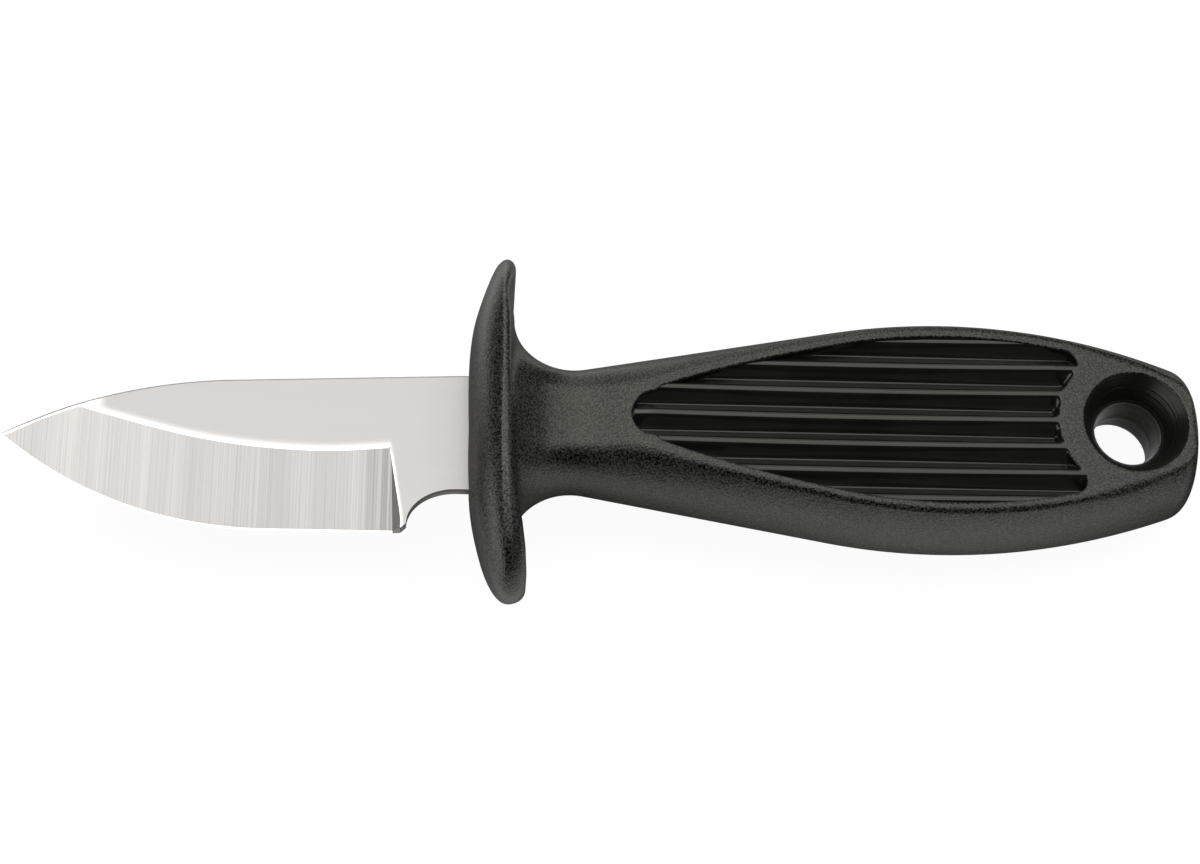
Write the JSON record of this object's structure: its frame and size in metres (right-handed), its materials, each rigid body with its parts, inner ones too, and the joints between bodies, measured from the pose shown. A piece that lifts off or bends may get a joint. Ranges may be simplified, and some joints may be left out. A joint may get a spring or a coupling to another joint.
{
  "type": "mussel knife",
  "caption": "Short pointed steel blade with a ground bevel and a finger notch, moulded into a black spindle handle with an oval guard, ribbed side panels and a hang hole.",
  "frame": {"origin": "centre of the knife's bounding box, on the blade's mid-plane and 0.45 mm above the handle's axis", "axes": "+X along the knife from the blade's tip to the butt, +Y from the cutting edge to the spine, +Z across the blade's thickness"},
  "size_m": [0.1556, 0.0474, 0.0256],
  "materials": {
    "blade_steel": "satin flats, cross-ground bevel",
    "handle_plastic": "fine spark-textured skin, smooth glossy ribs and hole"
  },
  "bodies": {
    "root": {"blade": "blade_steel", "handle": "handle_plastic"}
  },
  "joints": []
}
